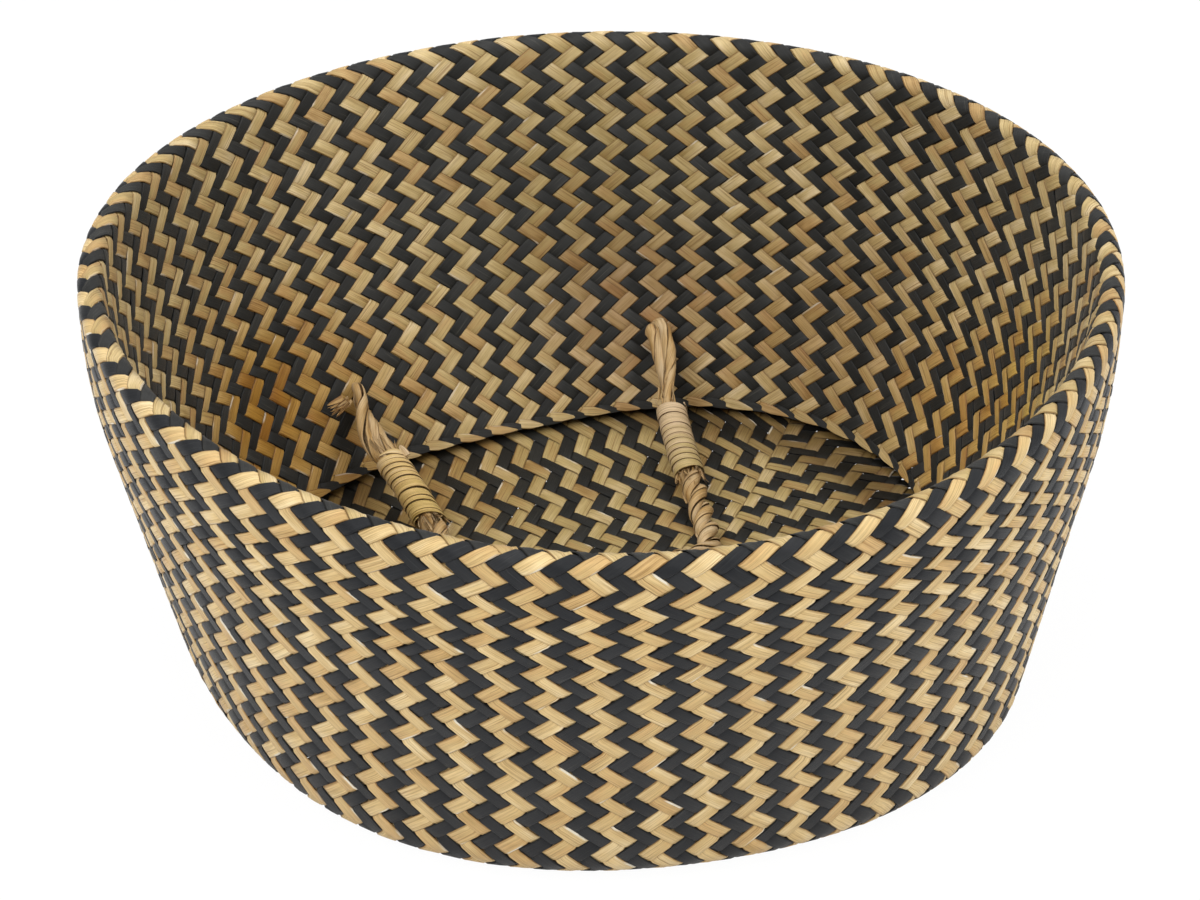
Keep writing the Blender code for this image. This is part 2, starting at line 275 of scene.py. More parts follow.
def drift_at(table, length):
    """A drift table's parts at these arc lengths."""
    rows = np.array(table)
    share = length / lengths[-1]
    return [np.interp(share, rows[:, 0], part) for part in rows[:, 1:].T]


def surface_at(column, row):
    """Angle and arc length of a lattice place, found by repeating."""
    angle = seam_angle + math.tau * column / columns
    length = np.interp(row, row_numbers, row_lengths)
    for _ in range(6):
        mean, cosine, sine = drift_at(column_drifts, length)
        drifted = column + mean + cosine * np.cos(angle) + sine * np.sin(angle)
        mean, two, five = drift_at(row_drifts, length)
        level = row + mean + two * np.cos(2 * angle) + five * np.cos(5 * (angle + five_wave_turn))
        angle = seam_angle + math.tau * drifted / columns
        length = np.interp(level, row_numbers, row_lengths)
    return angle, length + np.maximum(level - row_numbers[-1], 0) * 0.0032


def wall_place(a, b):
    """Place and outward normal at lattice point a, b of the walls."""
    angle, length = surface_at((a + b) / 2, a - b)
    small = 0.0008
    place = skin(length, angle)
    across = skin(length, angle + 0.004) - skin(length, angle - 0.004)
    along = skin(length + small, angle) - skin(np.maximum(length - small, 0), angle)
    return place, unit(np.cross(across, along))


def floor_place(quarter, k_i, k_j):
    """The same at a lattice point of the floor, in one quarter of the mat."""
    count = quarter_columns[quarter]
    total = np.maximum(k_i + k_j, 1e-6)
    share = np.maximum(total - count + quarter_columns[0], 0) / quarter_columns[0]
    angle, _ = surface_at(quarter_starts[quarter] + count * k_i / total, np.ones_like(total))
    edge = share * (base_radius + waves(base_round_shares, angle))
    disc = np.stack((edge * np.cos(angle), edge * np.sin(angle)), axis=-1)
    start = floor_angle + quarter * math.pi / 2
    first = np.array((math.cos(start), math.sin(start)))
    second = np.array((-math.sin(start), math.cos(start)))
    apex = mat_offset * (second + first if quarter % 2 == 0 else -second - first)
    flat = (apex + k_j[..., None] * first + k_i[..., None] * second) * floor_pitch
    mix = np.minimum(share, 1)[..., None] ** 2
    place = np.zeros(k_i.shape + (3,))
    place[..., :2] = flat * (1 - mix) + disc * mix
    place[..., 2] = half_thickness
    normal = np.zeros_like(place)
    normal[..., 2] = -1
    return place, normal


def plait_place(quarter, k_i, k_j):
    """The same for any lattice point reached from the floor."""
    place, normal = floor_place(quarter, k_i, k_j)
    a = quarter_starts[quarter] + k_i + 0.5
    b = quarter_starts[quarter + 1] - k_j - 0.5
    wall, wall_normal = wall_place(a, b)
    high = (k_i + k_j >= quarter_columns[quarter])[..., None]
    return np.where(high, wall, place), np.where(high, wall_normal, normal)


# Strands, each a closed ribbon of six-sided rings

ring_across = np.array((-1.0, -0.84, 0.0, 0.84, 1.0, 0.0))
ring_lift = np.array((0.0, 0.84, 1.0, 0.84, 0.0, -0.6))
ring_sides = len(ring_across)
flat_across = np.append(ring_across, ring_across[0])
crossing_samples = (-0.5, -0.27, 0.27)


def drift(count, step, size):
    """A smooth random wander along a strand."""
    knots = chance.normal(0, size, count // step + 3)
    return np.interp(np.arange(count) / step, np.arange(len(knots)), knots)


def on_top_left(row):
    return np.isin(np.mod(np.rint(row).astype(int), 4), (0, 1))


def samples(first, last):
    """Lattice positions along a strand: crossing centres are whole numbers."""
    whole = np.arange(math.floor(first), math.ceil(last) + 1)
    values = (whole[:, None] + np.array(crossing_samples)).ravel()
    values = values[(values > first) & (values < last)]
    return np.concatenate(((first,), values, (last,)))


def state_along(values, top_at):
    """How high a strand lies at these positions: 1 on top, -1 beneath, between them at a crossing's edge."""
    own = np.where(top_at(np.rint(values)), 1.0, -1.0)
    low = np.where(top_at(np.floor(values)), 1.0, -1.0)
    high = np.where(top_at(np.ceil(values)), 1.0, -1.0)
    edge = np.abs(values - np.floor(values) - 0.5) < 0.05
    return np.where(edge, (low + high) / 2 * 1.12, own)


class Strip:
    """One closed tube of rings, with the facts that its material reads."""

    def __init__(self, verts, across, tone):
        centre = verts.mean(axis=1)
        ring = verts - centre[:, None]
        facing = np.cross(ring, np.roll(ring, -1, axis=1)).sum(axis=1)
        step = -1 if np.sum(facing * np.gradient(centre, axis=0)) < 0 else 1
        self.verts = verts[::step]
        self.tone = np.broadcast_to(tone, len(verts))[::step]
        self.run = run_lengths(centre[::step])
        self.across = across


def ring_heights(state, count):
    """Heights of each ring's corners over the middle surface."""
    camber = strand_thickness * (1 + 0.18 * drift(count, 9, 1.0))[:, None]
    tilt = 0.00009 * drift(count, 7, 1.0)[:, None] * ring_across
    return ply_offset * state[:, None] + camber * ring_lift + tilt


def wall_strip(index, left, first_row, last_row_here, tone):
    """A strand's run over the walls, from one row to another."""
    if left:
        values = samples(index - last_row_here, index - first_row)[::-1]
        state = state_along(values, lambda b: on_top_left(index - b))
    else:
        values = samples(index + first_row, index + last_row_here)
        state = state_along(values, lambda a: ~on_top_left(a - index))
    count = len(values)
    width = strand_shares[index % 2] / 2 * (1 + 0.035 * drift(count, 14, 1.0) + chance.normal(0, 0.02))
    shift = 0.018 * drift(count, 10, 1.0)
    side = index + shift[:, None] + width[:, None] * ring_across
    along = np.repeat(values[:, None], ring_sides, axis=1)
    a, b = (side, along) if left else (along, side)
    places, normals = wall_place(a, b)
    return Strip(places + normals * ring_heights(state, count)[..., None], flat_across, tone)


def floor_strip(quarter, number, tone):
    """A strand's run over the floor, from one wall to the next quarter's wall."""
    count = quarter_columns[quarter]
    over = 2 * mat_offset if quarter % 2 == 0 else -2 * mat_offset
    out = count + first_left_row - 1 - (number - 0.5)
    back = count + first_right_row - 1 - (number - 0.5)
    values = samples(-back + 0.5, out + 0.5)[::-1]

    def top_at(k):
        row = np.where(k >= 1, number + k, number + 1 - k) - count
        return np.where(k >= 1, on_top_left(row), ~on_top_left(row))

    state = state_along(values, top_at)
    side, along = floor_lines(values, number)
    ahead = along >= 0
    here, here_normal = plait_place(quarter, side, np.abs(along))
    there, there_normal = plait_place((quarter + 1) % 4, np.abs(along), side + over)
    places = np.where(ahead[..., None], here, there)
    normals = np.where(ahead[..., None], here_normal, there_normal)
    return Strip(places + normals * ring_heights(state, len(values))[..., None], flat_across, tone)


def floor_lines(values, number):
    """A floor strand's edges over its neighbours' centres, and how far along it they lie."""
    count = len(values)
    width = strand_shares[number % 2] / 2 * (1 + 0.03 * drift(count, 14, 1.0) + chance.normal(0, 0.02))
    side = number - 0.5 + 0.02 * drift(count, 10, 1.0)[:, None] + width[:, None] * ring_across
    return side, np.repeat(values[:, None], ring_sides, axis=1) - 0.5


def middle_strip(quarter, number, left, tone):
    """A strand's run from the mat's middle line to a long side's wall."""
    count = quarter_columns[quarter]
    first_row = first_left_row if left else first_right_row
    inner = max(2 * mat_offset - number + 0.7, 0)
    values = samples(inner, count + first_row - number)

    def top_at(k):
        top = on_top_left(number + k - count)
        return top if left else ~top

    state = state_along(values, top_at)
    side, along = floor_lines(values, number)
    places, normals = plait_place(quarter, *((side, along) if left else (along, side)))
    if not left:
        places, normals, state = places[::-1], normals[::-1], state[::-1]
    return Strip(places + normals * ring_heights(state, len(values))[..., None], flat_across, tone)


def partner(index):
    """The left-leaning index of a right-leaning strand, which crosses the floor under that number."""
    index = index % columns
    quarter = np.searchsorted(quarter_starts, index, side="right") - 1
    over = 2 * mat_offset if quarter % 2 == 1 else -2 * mat_offset
    return quarter_starts[(quarter - 1) % 4] + quarter_starts[quarter + 1] - index - over


def build_strips(name, strips, finish, body):
    """One mesh of many closed strips, with strand coordinates and a map for baking."""
    sides = strips[0].verts.shape[1]
    starts = np.cumsum([0] + [strip.verts.shape[0] * sides for strip in strips])
    verts = np.concatenate([strip.verts.reshape(-1, 3) for strip in strips])
    quads, caps, along_uv, across_uv, bake_uv, tone = [], [], [], [], [], []
    longest = max(strip.run[-1] for strip in strips)
    row_height = 1 / len(strips)
    edge = np.arange(sides + 1) / sides
    for number, (strip, start) in enumerate(zip(strips, starts)):
        rings = strip.verts.shape[0]
        ring = np.arange(rings - 1)[:, None] * sides + start
        side = np.arange(sides)[None, :]
        after = (side + 1) % sides
        faces = np.stack((ring + side, ring + after, ring + after + sides, ring + side + sides), axis=-1)
        quads.append(faces.reshape(-1, 4))
        caps.append(np.arange(sides)[::-1] + start)
        caps.append(np.arange(sides) + start + (rings - 1) * sides)
        near = np.repeat(strip.run[:-1, None], sides, axis=1)
        far = np.repeat(strip.run[1:, None], sides, axis=1)
        along_uv.append(np.stack((near, near, far, far), axis=-1).reshape(-1) + number * 0.37)
        low = np.broadcast_to(strip.across[:-1], near.shape)
        high = np.broadcast_to(strip.across[1:], near.shape)
        across_uv.append(np.stack((low, high, high, low), axis=-1).reshape(-1))
        low = np.broadcast_to(edge[:-1], near.shape)
        high = np.broadcast_to(edge[1:], near.shape)
        band = np.stack((low, high, high, low), axis=-1).reshape(-1) * row_height * 0.96
        run = np.stack((near, near, far, far), axis=-1).reshape(-1) / longest * 0.995
        bake_uv.append(np.stack((run, band + (number + 0.02) * row_height), axis=-1))
        tone.append(np.repeat(strip.tone, sides))
    quads = np.concatenate(quads)
    caps = np.stack(caps)
    corners = np.concatenate((quads.ravel(), caps.ravel())).astype(np.int32)
    totals = np.concatenate((np.full(len(quads), 4), np.full(len(caps), sides))).astype(np.int32)
    first = np.concatenate(((0,), np.cumsum(totals)[:-1])).astype(np.int32)
    mesh = bpy.data.meshes.new(name)
    mesh.vertices.add(len(verts))
    mesh.vertices.foreach_set("co", verts.astype(np.float32).ravel())
    mesh.loops.add(len(corners))
    mesh.loops.foreach_set("vertex_index", corners)
    mesh.polygons.add(len(totals))
    mesh.polygons.foreach_set("loop_start", first)
    mesh.update(calc_edges=True)
    spare = len(caps) * sides
    strand = np.stack((np.concatenate(along_uv), np.concatenate(across_uv)), axis=-1)
    strand = np.concatenate((strand, np.zeros((spare, 2))))
    bake = np.concatenate((np.concatenate(bake_uv), np.tile((0.999, 0.999), (spare, 1))))
    for layer, values in (("Strand", strand), ("OFBake", bake)):
        mesh.uv_layers.new(name=layer).data.foreach_set("uv", values.astype(np.float32).ravel())
    field = mesh.attributes.new("tone", "FLOAT", "POINT")
    field.data.foreach_set("value", np.concatenate(tone).astype(np.float32))
    ends = np.empty(len(mesh.edges) * 2, np.int32)
    mesh.edges.foreach_get("vertices", ends)
    ends = ends.reshape(-1, 2)
    mesh.polygons.foreach_set("use_smooth", np.ones(len(totals), bool))
    if sides == ring_sides:
        place = ends % sides
        sharp = (place[:, 0] == place[:, 1]) & np.isin(place[:, 0], (0, 1, 3, 4))
        mark = mesh.attributes.new("sharp_edge", "BOOLEAN", "EDGE")
        mark.data.foreach_set("value", sharp)
    mesh.validate()
    piece = bpy.data.objects.new(name, mesh)
    bpy.context.collection.objects.link(piece)
    mesh.materials.append(finish)
    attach(piece, body)
    return piece


def plait_pieces(outer_straw, outer_black, inner_straw, inner_black, floor_straw, floor_black):
    made = {}
    strand_tones = chance.random(columns)
    for left in (True, False):
        cut = left_cut_row if left else right_cut_row
        low = first_left_row if left else first_right_row
        side = "left" if left else "right"
        for colour, odd in (("straw", 1), ("black", 0)):
            outer, inner = [], []
            for index in range(odd, columns, 2):
                tone = strand_tones[index if left else partner(index) % columns]
                outer.append(wall_strip(index, left, low, cut, tone))
                inner.append(wall_strip(index, left, cut, last_row, tone))
            finish = outer_straw if colour == "straw" else outer_black
            name = "outer_%s_strands_%s" % (colour, side)
            made[name] = build_strips(name, outer, finish, "basket")
            finish = inner_straw if colour == "straw" else inner_black
            name = "inner_%s_strands_%s" % (colour, side)
            made[name] = build_strips(name, inner, finish, "basket")
    for colour, odd, finish in (("straw", 1, floor_straw), ("black", 0, floor_black)):
        strips = []
        for quarter, count in enumerate(quarter_columns):
            for number in range(2 - odd, count + 1, 2):
                tone = strand_tones[(quarter_starts[quarter] + number) % columns]
                if quarter % 2 == 0 or number > 2 * mat_offset:
                    strips.append(floor_strip(quarter, number, tone))
                else:
                    strips.append(middle_strip(quarter, number, True, tone))
                    strips.append(middle_strip(quarter, number, False, chance.random()))
        name = "floor_%s_strands" % colour
        made[name] = build_strips(name, strips, finish, "basket")
    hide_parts("base_mat")
    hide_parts("outer_wall", "fold_rim")
    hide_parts("inner_wall", "mouth_hem")
    return made


# Hem of the mouth: the last float of each strand bends along the edge and tapers

def hem_tooth(index, natural):
    """A strand's end, from its last crossing down to the edge and along it."""
    share = np.linspace(0, 1, 22)
    row = hem_first_row + (hem_rows + chance.normal(0, 0.08)) * share ** 0.85
    middle = index - hem_first_row / 2 - hem_reach * (1 + chance.normal(0, 0.06)) * share
    place, normal = wall_place(middle + row / 2, middle - row / 2)
    tangent = unit(np.gradient(place, axis=0))
    side = unit(np.cross(normal, tangent))
    swell = 1 + 0.10 * np.sin(share * math.pi)
    taper = np.clip((1 - share) / 0.5, 0.01, 1) ** 0.7
    width = hem_half_width * (1 + chance.normal(0, 0.06)) * swell * taper * np.clip(0.5 + share * 4, 0, 1)
    lift = (hem_lift + 0.0008) * np.clip(share / 0.3, 0, 1) - 0.0008
    lift = lift * (1 if natural else 0.7)
    rings = place[:, None] + side[:, None] * (width[:, None] * ring_across)[..., None]
    camber = strand_thickness * 1.3 * taper[:, None] * ring_lift
    rings = rings + normal[:, None] * (lift[:, None] + camber)[..., None]
    return Strip(rings, flat_across, chance.random())


def hem_pieces(straw_finish, black_finish):
    for colour, odd, finish in (("straw", 1, straw_finish), ("black", 0, black_finish)):
        strips = [hem_tooth(index, odd) for index in range(odd, columns, 2)]
        build_strips("hem_%s_ends" % colour, strips, finish, "basket")


# Handles

def wall_anchor(azimuth):
    """The centre of an eye: a point that stands off the inner wall at the eyes' height."""
    angle = math.pi / 2 - azimuth
    centre, radius, first, last = inner_arc()
    low, high = 0.0, 1.0
    for _ in range(40):
        share = (low + high) / 2
        nominal = centre + polar(first + (last - first) * share, radius)
        place = hand_shape(nominal[0], nominal[1], angle, 1)
        low, high = (share, high) if place[2] > anchor_height else (low, share)
    facing = unit(centre - nominal)
    outward = np.array((math.cos(angle), math.sin(angle), 0))
    return place + (outward * facing[0] + np.array((0, 0, facing[1]))) * anchor_standoff


class Bail:
    """A bail's hinge frame and its rope's route from eye to eye, lying on the floor."""

    def __init__(self, azimuth):
        clockwise = wall_anchor(azimuth + handle_half_angle)
        counter = wall_anchor(azimuth - handle_half_angle)
        self.half = np.linalg.norm(counter - clockwise) / 2
        self.middle = (clockwise + counter) / 2
        along = unit(counter - clockwise)
        inward = unit(np.cross((0, 0, 1), along))
        self.axes = np.stack((along, inward, np.cross(along, inward)))
        points = []
        floor_level = plait_thickness + rope_floor_gap + rope_radius
        for across_share, reach_share, drop_share in bail_route_shares:
            across = across_share * self.half
            drop = self.middle[2] + along[2] * across - floor_level
            points.append((across, reach_share * handle_reach, -drop_share * drop))
        roots = []
        for side, nearest in ((1, points[0]), (-1, points[-1])):
            slope = math.atan2(nearest[2], nearest[1])
            roots.append((side * self.half, eye_radius * math.cos(slope), eye_radius * math.sin(slope)))
        plain = smooth_path([roots[0]] + points + [roots[1]])
        left = self.eye_arc(1, left_eye)
        right = self.eye_arc(-1, right_eye)[::-1]
        self.path = smooth_path(left + points + right)
        self.runs = run_lengths(self.path)
        self.length = self.runs[-1]
        shifts = []
        for step in (1, -1):
            ours = run_lengths(self.path[::step])[(len(left) + 2) * path_steps]
            theirs = run_lengths(plain[::step])[3 * path_steps]
            shifts.append(ours - theirs)
        self.first = shifts[0] + left_wrap["from_eye"]
        self.last = self.length - shifts[1] - right_wrap["from_eye"]
        self.root = self.runs[(len(left) - 1) * path_steps]
        self.wraps = (("left", self.first, 1, left_wrap), ("right", self.last, -1, right_wrap))

    def eye_arc(self, side, eye):
        """Places on the rope's bend into the wall, about the hinge line."""
        across = side * (self.half - eye["inset"])
        return [(across, *(polar(math.radians(angle), eye["radius"]))) for angle in eye["degrees"]]

    def world(self, points):
        return self.middle + np.asarray(points) @ self.axes

    def at(self, distances):
        """Places along the rope, with its heading, its side and its upper direction."""
        before, places, after = (
            np.stack([np.interp(distances + step, self.runs, part) for part in self.path.T], axis=-1)
            for step in (-0.002, 0, 0.002)
        )
        heading = unit(after - before)
        side = unit(np.cross(heading, (0, 0, 1)))
        return places, heading, side, np.cross(side, heading)


path_steps = 8


def smooth_path(points):
    """Places on a smooth curve through the given points."""
    points = np.array(points, float)
    padded = np.concatenate((points[:1] * 2 - points[1:2], points, points[-1:] * 2 - points[-2:-1]))
    share = np.arange(path_steps)[:, None] / path_steps
    path = []
    for before, start, end, after in zip(padded, padded[1:], padded[2:], padded[3:]):
        bend = (before * 2 - start * 5 + end * 4 - after) * share ** 2
        swing = (start * 3 - before - end * 3 + after) * share ** 3
        path.append((start * 2 + (end - before) * share + bend + swing) / 2)
    return np.concatenate(path + [points[-1:]])


def run_lengths(path):
    return np.concatenate(((0,), np.cumsum(np.linalg.norm(np.diff(path, axis=0), axis=1))))


# A leaf's own section: ten corners, over its width and its thickness
leaf_across = np.array((-1.0, -0.8, -0.4, 0.0, 0.4, 0.8, 1.0, 0.5, 0.0, -0.5))
leaf_lift = np.array((0.0, 0.8, 1.0, 1.0, 1.0, 0.8, 0.0, -1.0, -1.0, -1.0))


def ply_leaves(middle, heading, facing, wide, thick, run, seed):
    """A ply: flat leaves wound round one line, each over the next one's edge."""
    across = unit(facing - heading * np.sum(facing * heading, axis=-1, keepdims=True))
    over = np.cross(heading, across)
    count = len(run)
    leaves = []
    for number in range(leaves_per_ply):
        turn = (number / leaves_per_ply + run * leaf_turns_per_metre + seed) * math.tau
        turn = turn + 0.25 * drift(count, 14, 1.0)
        half = leaf_half_turn * (1 + 0.08 * drift(count, 12, 1.0))
        angle = turn[:, None] + half[:, None] * leaf_across
        size = 1 + leaf_tilt * leaf_across + leaf_half_thickness / ply_radius * leaf_lift
        folds = 0.06 * np.cos(2.6 * leaf_across + 3 * drift(count, 9, 1.0)[:, None])
        size = size + folds + 0.05 * drift(count, 7, 1.0)[:, None]
        sideways = across[:, None] * (np.cos(angle) * size * wide[:, None])[..., None]
        upward = over[:, None] * (np.sin(angle) * size * thick[:, None])[..., None]
        leaves.append(middle[:, None] + sideways + upward)
    return leaves


def rope_plies(bail):
    """Both plies, from eye to eye: loosely laid down to the lashings, twisted between them."""
    run = np.arange(0, bail.length, rope_step)
    places, heading, side, over = bail.at(run)
    first, last = bail.first, bail.last
    start, stop = first + left_wrap["length"] * 0.6, last - right_wrap["length"] * 0.6
    halves = round((stop - start) / rope_half_pitch)
    middle = bail.root + (first - bail.root) * 0.45
    marks = (bail.root, middle, first, start, stop, last, bail.length - bail.root * 1.3)
    half_turns = np.array((-0.5, -0.05, 0.25, 0.5, halves + 0.2, halves + 0.35, halves + 0.85))
    turned = np.interp(run, marks, half_turns * -math.pi)
    doubled = np.clip(np.maximum(first - run, run - last) / 0.006, 0, 1)
    free = np.clip(np.minimum(run - first, last - run) / 0.02, 0, 1)
    in_wall = np.minimum(run, bail.length - run) / (bail.root * root_pinch_reach_share)
    pinch = np.interp(in_wall, (0, 1), (root_pinch_share, 1))
    spread = ply_offset_free + (ply_offset_doubled - ply_offset_free) * doubled
    spread = spread * pinch * (1 + 0.05 * drift(len(run), 8, 1.0))
    strips = []
    for number in range(2):
        angle = (turned + number * math.pi)[:, None]
        facing = side * np.cos(angle) + over * np.sin(angle)
        middle = places + facing * spread[:, None]
        wide = ply_radius * pinch * (1 + 0.06 * doubled + 0.03 * free)
        thick = wide * (1 - (1 - ply_flatness) * doubled)
        ahead = unit(np.gradient(middle, axis=0))
        for rings in ply_leaves(middle, ahead, facing, wide, thick, run, number * 0.4):
            tone = 0.7 * chance.random() + 0.15 * (1 + drift(len(run), 16, 1.0))
            strips.append(Strip(bail.world(rings), np.append(leaf_across, leaf_across[0]), tone))
    return strips


def wrap_strip(bail, first, away, wrap):
    """A lashing: one flat strand wound round both plies, from the eye's side down."""
    length, turns = wrap["length"], wrap["turns"]
    turn = np.linspace(0, turns, turns * wrap_rings_per_turn + 1)
    count = len(turn)
    uneven = 0.00034 * drift(count, wrap_rings_per_turn * 3 // 4, 1.0)
    places, heading, side, over = bail.at(first + away * (length * turn / turns + uneven))
    heading = heading * away
    around = turn * math.tau * away + 0.6
    tilt = -away * np.cos(around) * wrap["slant"] * (1 + 0.15 * drift(count, wrap_rings_per_turn, 1.0))
    radial = side * np.cos(around)[:, None] + over * np.sin(around)[:, None]
    first_turn = np.clip(1.2 - turn, 0, 1)
    radius = wrap_radius * (1 + 0.018 * drift(count, 14, 1.0) + 0.03 * first_turn)
    middle = places + radial * radius[:, None] + heading * tilt[:, None]
    half = length / turns / 2 * (1.10 + 0.5 * first_turn + 0.03 * drift(count, 20, 1.0))
    half = half * np.clip(np.minimum(turn, turns - turn) * 5, 0.25, 1)
    rings = middle[:, None] + heading[:, None] * (half[:, None] * ring_across)[..., None]
    lift = wrap_half_thickness * ring_lift + wrap_shingle * ring_across
    rings = rings + radial[:, None] * lift[None, :, None]
    return Strip(bail.world(rings), flat_across, turn / turns)


def fibre(start, heading, length, width, curl):
    """A loose fibre: a thin strip that tapers and curls."""
    count = 14
    share = np.linspace(0, 1, count)
    heading = unit(np.asarray(heading, float))
    first = unit(np.cross(heading, chance.normal(0, 1, 3)))
    second = np.cross(heading, first)
    bend = curl * share ** 1.6
    sway = 0.5 * curl * share ** 2 * chance.normal(0, 1)
    ahead = heading * np.cos(bend)[:, None] + first * np.sin(bend)[:, None] + second * sway[:, None]
    middle = start + np.concatenate((np.zeros((1, 3)), np.cumsum(unit(ahead)[1:], axis=0))) * length / count
    side = unit(np.cross(ahead, first + 0.3 * second))
    over = np.cross(unit(ahead), side)
    half = width / 2 * np.sqrt(np.clip(1 - share, 0.01, 1))
    rings = middle[:, None] + side[:, None] * (half[:, None] * ring_across)[..., None]
    return rings + over[:, None] * (half[:, None] * 0.3 * ring_lift)[..., None]


def fray_group(bail, distance, direction, count, reach, widest, spread, curl):
    """Fibres that start round the rope at one place and run along it."""
    strips = []
    for _ in range(count):
        away = np.array((distance + chance.uniform(-0.002, 0.002),))
        places, heading, side, over = [part[0] for part in bail.at(away)]
        turn = chance.uniform(-0.4, math.pi + 0.4)
        radial = side * math.cos(turn) + over * math.sin(turn)
        start = places + radial * chance.uniform(0.0036, 0.0044)
        aim = heading * direction + radial * chance.uniform(0.02, spread)
        length = reach * chance.uniform(0.5, 1.3)
        strip = fibre(start, aim, length, chance.uniform(0.0004, widest), chance.uniform(-curl, curl))
        strips.append(Strip(bail.world(strip), flat_across, chance.random()))
    return strips


def frays(bail):
    """Loose fibres and leaf ends: at both ends of each lashing, along the rope and beside the left eye."""
    strips = []
    for _, start, away, wrap in bail.wraps:
        end = start + away * (wrap["length"] - 0.002)
        strips += fray_group(bail, end, away, 24, 0.009, 0.0012, 0.5, 1.2)
        strips += fray_group(bail, end, away, 9, 0.008, 0.0040, 0.45, 0.8)
        strips += fray_group(bail, start + away * 0.002, -away, 12, 0.007, 0.0014, 0.25, 0.6)
        strips += fray_group(bail, start - away * 0.010, away, 10, 0.008, 0.0018, 0.15, 0.4)
    flap, heading, side, over = [part[0] for part in bail.at(np.array((bail.first + 0.0035,)))]
    flap = flap + (over * 0.75 - side * 0.65) * (wrap_radius + 0.0005)
    strips.append(Strip(bail.world(fibre(flap, -heading - side * 0.2, 0.006, 0.0045, 0.3)), flat_across, 0))
    for _ in range(16):
        distance = chance.uniform(bail.first + left_wrap["length"], bail.last - right_wrap["length"])
        strips += fray_group(bail, distance, 1, 1, 0.012, 0.0012, 0.3, 1.2)
    stub = np.array((bail.half + 0.0035, 0.0055, 0.0065))
    for number in range(30):
        aim = np.array((1.0, 0.30, -0.35)) + chance.normal(0, 0.16, 3)
        width = 0.0030 if number < 8 else chance.uniform(0.0006, 0.0016)
        length = chance.uniform(0.004, 0.0085)
        place = stub + chance.normal(0, 0.0010, 3)
        strip = fibre(place, aim, length, width, chance.uniform(-0.4, 0.4))
        strips.append(Strip(bail.world(strip), flat_across, chance.uniform(0.4, 1.2)))
    return strips


def handle_pieces(rope_finish, left_finish, right_finish, fray_finish):
    for name, azimuth in (("far", handle_azimuth), ("near", handle_azimuth + math.pi)):
        bail = Bail(azimuth)
        body = name + "_handle"
        rope = build_strips(name + "_rope_plies", rope_plies(bail), rope_finish, body)
        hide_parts(name + "_handle_rope")
        build_strips(name + "_frays", frays(bail), fray_finish, body)
        for side, *winding in bail.wraps:
            strips = [wrap_strip(bail, *winding)]
            finish = left_finish if side == "left" else right_finish
            wrap = build_strips("%s_%s_wrap" % (name, side), strips, finish, body)
            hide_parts("%s_%s_lashing" % (name, side))


# Materials

def new_material(name, roughness, specular, sheen=0.10):
    made = bpy.data.materials.new(name)
    made.use_nodes = True
    shader = made.node_tree.nodes["Principled BSDF"]
    shader.inputs["Roughness"].default_value = roughness
    shader.inputs["Specular IOR Level"].default_value = specular
    shader.inputs["Sheen Weight"].default_value = sheen
    shader.inputs["Sheen Roughness"].default_value = 0.35
    return made, made.node_tree, shader


def node(tree, kind, **values):
    made = tree.nodes.new(kind)
    for key, value in values.items():
        setattr(made, key, value)
    return made


def math_node(tree, operation, first, second, clamp=False):
    made = node(tree, "ShaderNodeMath", operation=operation, use_clamp=clamp)
    for socket, value in zip(made.inputs, (first, second)):
        if isinstance(value, (int, float)):
            socket.default_value = value
        else:
            tree.links.new(value, socket)
    return made.outputs[0]


def ramp(tree, factor, stops):
    made = node(tree, "ShaderNodeValToRGB")
    while len(made.color_ramp.elements) < len(stops):
        made.color_ramp.elements.new(0.5)
    for element, (place, colour) in zip(made.color_ramp.elements, stops):
        element.position = place
        element.color = (*colour, 1)
    tree.links.new(factor, made.inputs["Fac"])
    return made.outputs["Color"]


def mix_colour(tree, blend, factor, first, second):
    made = node(tree, "ShaderNodeMix", data_type="RGBA", blend_type=blend)
    for socket, value in ((made.inputs[0], factor), (made.inputs[6], first), (made.inputs[7], second)):
        if isinstance(value, (int, float)):
            socket.default_value = value
        elif isinstance(value, tuple):
            socket.default_value = (*value, 1)
        else:
            tree.links.new(value, socket)
    return made.outputs[2]


def noise(tree, vector, detail, roughness=0.5):
    made = node(tree, "ShaderNodeTexNoise")
    made.inputs["Scale"].default_value = 1
    made.inputs["Detail"].default_value = detail
    made.inputs["Roughness"].default_value = roughness
    tree.links.new(vector, made.inputs["Vector"])
    return made.outputs["Fac"]


def strand_parts(tree):
    """Metres along a strand, and -1 to 1 across it."""
    parts = node(tree, "ShaderNodeSeparateXYZ")
    tree.links.new(node(tree, "ShaderNodeUVMap", uv_map="Strand").outputs["UV"], parts.inputs[0])
    return parts.outputs["X"], parts.outputs["Y"]


def strand_noise(tree, along, across, detail, roughness=0.5):
    """Noise that follows a strand: per metre along it, and over its width."""
    joined = node(tree, "ShaderNodeCombineXYZ")
    for part, scale, socket in zip(strand_parts(tree), (along, across), joined.inputs):
        tree.links.new(math_node(tree, "MULTIPLY", part, scale), socket)
    return noise(tree, joined.outputs[0], detail, roughness)


def strand_tone(tree):
    return node(tree, "ShaderNodeAttribute", attribute_name="tone").outputs["Fac"]


def add_bump(tree, shader, height, strength, distance):
    bump = node(tree, "ShaderNodeBump")
    bump.inputs["Strength"].default_value = strength
    bump.inputs["Distance"].default_value = distance
    tree.links.new(height, bump.inputs["Height"])
    tree.links.new(bump.outputs["Normal"], shader.inputs["Normal"])


